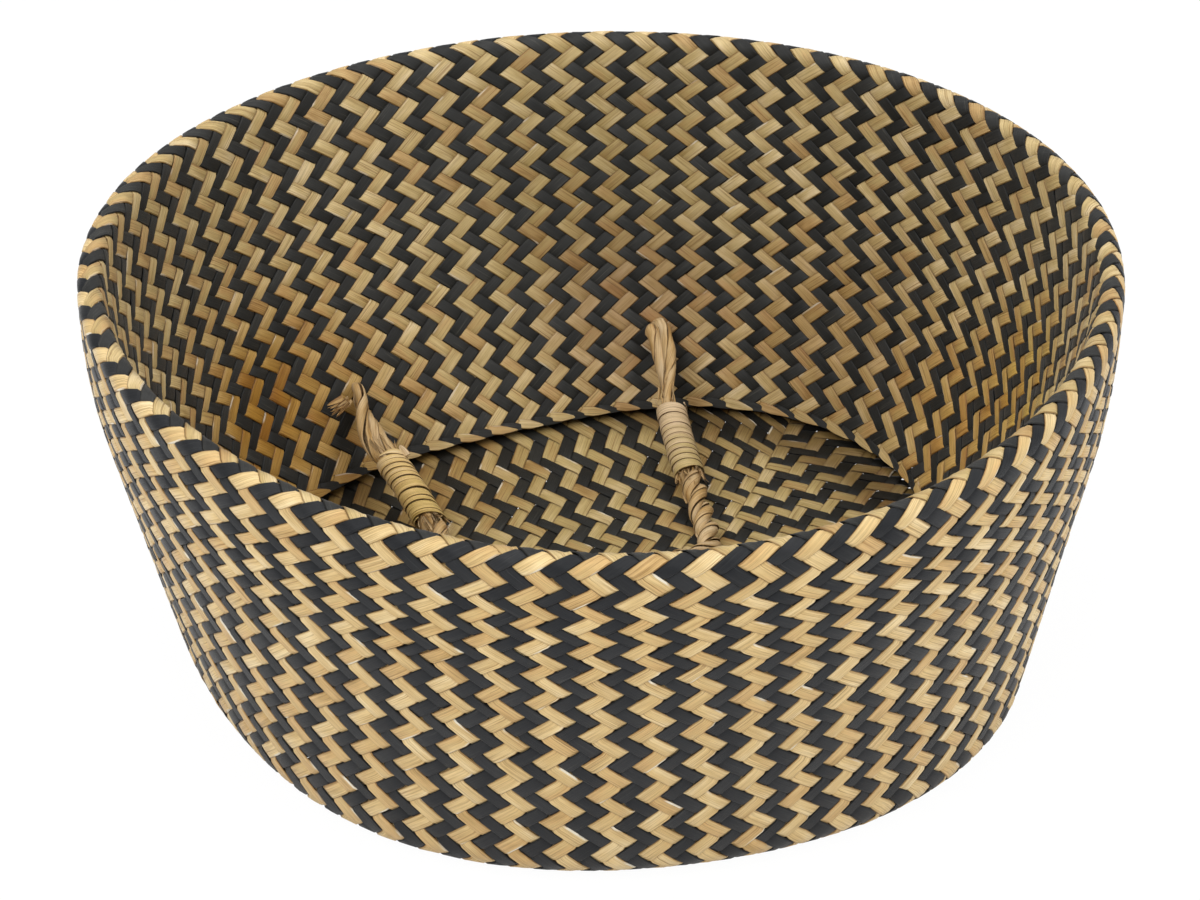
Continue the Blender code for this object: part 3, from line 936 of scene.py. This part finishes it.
def tinted_by_patches(tree, colour, tint_patches):
    """The colour under large soft tinted patches, some of them painted shadow: centre, where each is full,
    where it ends, and its tint.
    """
    place = node(tree, "ShaderNodeTexCoord").outputs["Object"]
    for centre, full, end, tint in tint_patches:
        away = node(tree, "ShaderNodeVectorMath", operation="DISTANCE")
        away.inputs[1].default_value = centre
        tree.links.new(place, away.inputs[0])
        near = math_node(tree, "SUBTRACT", away.outputs["Value"], end)
        near = math_node(tree, "MULTIPLY", near, 1 / (full - end), True)
        colour = mix_colour(tree, "MULTIPLY", near, colour, tint)
    return colour


def edge_lines(tree, colour, edge_shade, width, white):
    """Dark lines along a strand's edges, partly the leaf's own darker edge and partly painted shade in the
    narrow gaps between strands, and now and then one pale edge.
    """
    _, across = strand_parts(tree)
    side = math_node(tree, "ABSOLUTE", across, 0)
    # Partly the leaf's darker edge, partly painted shade: each strand darkens towards the gap beside the
    # next one.
    dark = ramp(tree, side, ((1 - width, (1, 1, 1)), (0.97, edge_shade)))
    colour = mix_colour(tree, "MULTIPLY", 1.0, colour, dark)
    if white:
        pale = math_node(tree, "SUBTRACT", strand_noise(tree, 75, 0.8, 1), 0.60)
        pale = math_node(tree, "MULTIPLY", pale, 12, True)
        edge = math_node(tree, "SUBTRACT", across, 0.72)
        edge = math_node(tree, "MULTIPLY", edge, 14, True)
        pale = math_node(tree, "MULTIPLY", math_node(tree, "MULTIPLY", pale, edge), white)
        colour = mix_colour(tree, "MIX", pale, colour, (0.80, 0.74, 0.60))
    return colour


def straw(name, stops, contrast=1.0, edge_shade=(0.45, 0.36, 0.26), edge_shade_width=0.2, white=0, tint_patches=()):
    """Dry leaf: patches of tone along the strand, fine fibres, dark streaks, and dark edges that are partly
    painted shade.
    """
    made, tree, shader = new_material(name, 0.50, 0.35)
    fibre = strand_noise(tree, 42, 9, 4, 0.65)
    patch = math_node(tree, "MULTIPLY", strand_noise(tree, 70, 0.6, 2), 1.3)
    shade = math_node(tree, "ADD", patch, math_node(tree, "MULTIPLY", strand_tone(tree), 0.62))
    colour = ramp(tree, math_node(tree, "SUBTRACT", shade, 0.46, True), stops)
    colour = tinted_by_patches(tree, colour, tint_patches)
    lines = ramp(tree, fibre, ((0.34, (0.58, 0.52, 0.44)), (0.50, (1, 1, 1)), (0.68, (1.14, 1.15, 1.17))))
    colour = mix_colour(tree, "MULTIPLY", min(contrast, 1), colour, lines)
    dark = ramp(tree, strand_noise(tree, 30, 5.5, 2), ((0.30, (0.50, 0.37, 0.24)), (0.43, (1, 1, 1))))
    colour = mix_colour(tree, "MULTIPLY", min(0.75 * contrast, 1), colour, dark)
    colour = edge_lines(tree, colour, edge_shade, edge_shade_width, white)
    tree.links.new(colour, shader.inputs["Base Color"])
    add_bump(tree, shader, fibre, 0.6, 0.0003)
    return made


def dyed(name, dark, light, tint_patches=()):
    """Leaf dyed black, with fine fibres and a few paler scratches."""
    made, tree, shader = new_material(name, 0.50, 0.22)
    fibre = strand_noise(tree, 42, 9, 4, 0.65)
    shade = math_node(tree, "MULTIPLY", fibre, 0.9)
    shade = math_node(tree, "ADD", shade, math_node(tree, "MULTIPLY", strand_tone(tree), 0.35))
    colour = ramp(tree, math_node(tree, "SUBTRACT", shade, 0.25, True), ((0.15, dark), (0.75, light)))
    worn = ramp(tree, strand_noise(tree, 60, 7, 3), ((0.60, (1, 1, 1)), (0.72, (2.8, 2.7, 2.4))))
    colour = tinted_by_patches(tree, mix_colour(tree, "MULTIPLY", 1.0, colour, worn), tint_patches)
    colour = edge_lines(tree, colour, (0.35, 0.33, 0.28), 0.2, 0)
    tree.links.new(colour, shader.inputs["Base Color"])
    add_bump(tree, shader, fibre, 0.5, 0.0003)
    return made


# Stage, lights and camera

def white_ground():
    """A pale ground that the camera sees near white, and that still takes the object's shadow."""
    made, tree, shader = new_material("ground", 0.9, 0.1, 0)
    shader.inputs["Base Color"].default_value = (0.86, 0.86, 0.86, 1)
    glow = node(tree, "ShaderNodeEmission")
    glow.inputs["Color"].default_value = (1, 1, 1, 1)
    glow.inputs["Strength"].default_value = 1.02
    blend = node(tree, "ShaderNodeMixShader")
    path = node(tree, "ShaderNodeLightPath")
    seen = math_node(tree, "MULTIPLY", path.outputs["Is Camera Ray"], 0.95)
    tree.links.new(seen, blend.inputs[0])
    tree.links.new(shader.outputs[0], blend.inputs[1])
    tree.links.new(glow.outputs[0], blend.inputs[2])
    tree.links.new(blend.outputs[0], tree.nodes["Material Output"].inputs["Surface"])
    mesh = bpy.data.meshes.new("ground")
    size = 3.0
    corners = [(-size, -size, 0), (size, -size, 0), (size, size, 0), (-size, size, 0)]
    mesh.from_pydata(corners, [], [(0, 1, 2, 3)])
    mesh.materials.append(made)
    ground = bpy.data.objects.new("ground", mesh)
    bpy.context.collection.objects.link(ground)


def soft_lamp(name, place, target, size, power):
    data = bpy.data.lights.new(name, "AREA")
    data.shape = "SQUARE"
    data.size = size
    data.energy = power
    lamp = bpy.data.objects.new(name, data)
    lamp.location = place
    lamp.rotation_euler = (Vector(target) - Vector(place)).to_track_quat("-Z", "Y").to_euler()
    bpy.context.collection.objects.link(lamp)


def lights():
    world = bpy.data.worlds.new("studio")
    bpy.context.scene.world = world
    world.use_nodes = True
    tree = world.node_tree
    back = tree.nodes["Background"]
    back.inputs["Color"].default_value = (1, 1, 1, 1)
    path = node(tree, "ShaderNodeLightPath")
    strength = math_node(tree, "MULTIPLY", path.outputs["Is Camera Ray"], 0.5)
    strength = math_node(tree, "ADD", strength, 0.5)
    tree.links.new(strength, back.inputs["Strength"])
    soft_lamp("key_light", (-0.9, -1.3, 1.9), (0, 0, 0.05), 1.3, 30)
    soft_lamp("fill_light", (1.5, -0.9, 1.2), (0, 0, 0.05), 1.4, 13)
    soft_lamp("top_light", (0.1, 0.5, 2.1), (0, 0, 0.05), 1.5, 18)


def camera():
    scene = bpy.context.scene
    data = bpy.data.cameras.new("camera")
    made = bpy.data.objects.new("camera", data)
    scene.collection.objects.link(made)
    focal = 2828.09
    tilt = math.radians(29.47365)
    centre_x, centre_y = 604.268, 243.323
    reach = 5.41139 * rim_radius
    data.sensor_fit = "HORIZONTAL"
    data.sensor_width = 36
    data.lens = focal / 1200 * data.sensor_width
    data.shift_x = (600 - centre_x) / 1200
    data.shift_y = (centre_y - 450) / 1200
    data.clip_start = 0.05
    made.location = (0, -reach * math.cos(tilt), basket_height + reach * math.sin(tilt))
    made.rotation_euler = (math.pi / 2 - tilt, 0, 0)
    scene.camera = made


def main():
    bpy.context.scene.view_settings.view_transform = "Standard"
    light_stops = (
        (0.0, (0.82, 0.65, 0.37)),
        (0.25, (0.74, 0.55, 0.27)),
        (0.5, (0.66, 0.47, 0.21)),
        (0.75, (0.66, 0.44, 0.19)),
        (1.0, (0.52, 0.34, 0.13)),
    )
    # Inside straw: its own warmer tone, made darker with painted shade.
    inside_tone_and_shade_stops = (
        (0.0, (0.70, 0.55, 0.31)),
        (0.25, (0.61, 0.46, 0.22)),
        (0.5, (0.52, 0.38, 0.16)),
        (0.75, (0.52, 0.34, 0.14)),
        (1.0, (0.38, 0.23, 0.08)),
    )
    # Floor straw: the same tone, darker still with painted shade at the bottom of the bowl.
    floor_tone_and_shade_stops = (
        (0.0, (0.56, 0.43, 0.22)),
        (0.25, (0.48, 0.36, 0.155)),
        (0.5, (0.41, 0.30, 0.115)),
        (0.75, (0.41, 0.27, 0.10)),
        (1.0, (0.30, 0.18, 0.055)),
    )
    # Soft patches that darken and tint the inner wall at given places, most of them on its far side.
    inner_tint_patches = (
        ((-0.01, 0.15, 0.085), 0.028, 0.085, (0.66, 0.64, 0.54)),
        ((0.01, 0.125, 0.045), 0.016, 0.050, (0.84, 0.74, 0.76)),
        ((-0.11, 0.045, 0.040), 0.025, 0.075, (0.82, 0.64, 0.34)),
        ((0.12, 0.045, 0.040), 0.020, 0.060, (0.98, 0.82, 0.52)),
        ((0.085, 0.105, 0.050), 0.020, 0.055, (0.76, 0.66, 0.54)),
        ((-0.130, 0.053, 0.045), 0.008, 0.034, (0.82, 0.70, 0.36)),
        ((0.152, 0.020, 0.077), 0.014, 0.045, (0.93, 0.83, 0.44)),
    )
    # A soft patch that darkens and warms the middle of the front outer wall a little.
    outer_tint_patch = (((0.0, -0.16, 0.09), 0.060, 0.120, (0.92, 0.90, 0.85)),)
    # Painted shadow: the first patch darkens the floor outside radius 0.103, under the hem. The second
    # darkens the floor towards the back left.
    floor_hem_shadow_and_dark_patch = (
        ((0.0036, -0.0018, 0.0), 0.118, 0.103, (0.46, 0.40, 0.32)),
        ((-0.07, 0.07, 0.0), 0.020, 0.050, (0.80, 0.72, 0.58)),
    )
    finishes = (
        straw("straw_outside", light_stops, white=0.9, tint_patches=outer_tint_patch),
        dyed("black_outside", (0.008, 0.009, 0.011), (0.026, 0.027, 0.029)),
        straw("straw_inside", inside_tone_and_shade_stops, contrast=1.15, white=0.45, tint_patches=inner_tint_patches),
        # The inside black, and a little the floor black, are lighter than the outside black: dye colour with
        # painted reflection.
        dyed("black_inside", (0.015, 0.015, 0.014), (0.040, 0.040, 0.038)),
        straw("straw_floor", floor_tone_and_shade_stops, contrast=1.15, white=0.6, tint_patches=floor_hem_shadow_and_dark_patch),
        dyed("black_floor", (0.010, 0.010, 0.009), (0.028, 0.028, 0.025), floor_hem_shadow_and_dark_patch),
    )
    plait_pieces(*finishes)
    hem_pieces(finishes[2], finishes[3])
    rope_stops = (
        (0.0, (0.64, 0.49, 0.30)),
        (0.35, (0.56, 0.39, 0.19)),
        (0.7, (0.45, 0.27, 0.09)),
        (1.0, (0.25, 0.13, 0.04)),
    )
    left_wrap_stops = (
        (0.0, (0.78, 0.60, 0.34)),
        (0.35, (0.70, 0.49, 0.20)),
        (0.7, (0.62, 0.44, 0.15)),
        (1.0, (0.48, 0.33, 0.09)),
    )
    right_wrap_stops = (
        (0.0, (0.66, 0.50, 0.32)),
        (0.35, (0.62, 0.46, 0.27)),
        (0.7, (0.54, 0.41, 0.19)),
        (1.0, (0.44, 0.33, 0.11)),
    )
    # Very dark edge lines on each lashing turn: painted shade where one turn lies over the next.
    wrap_edge_shade = {"edge_shade": (0.15, 0.09, 0.04), "edge_shade_width": 0.20}
    handle_pieces(
        straw("rope_straw", rope_stops, contrast=1.3, edge_shade_width=0.12),
        straw("left_wrap_straw", left_wrap_stops, contrast=1.1, **wrap_edge_shade),
        straw("right_wrap_straw", right_wrap_stops, contrast=1.1, **wrap_edge_shade),
        straw("fray_straw", rope_stops, contrast=1.3),
    )
    white_ground()
    lights()
    camera()


main()
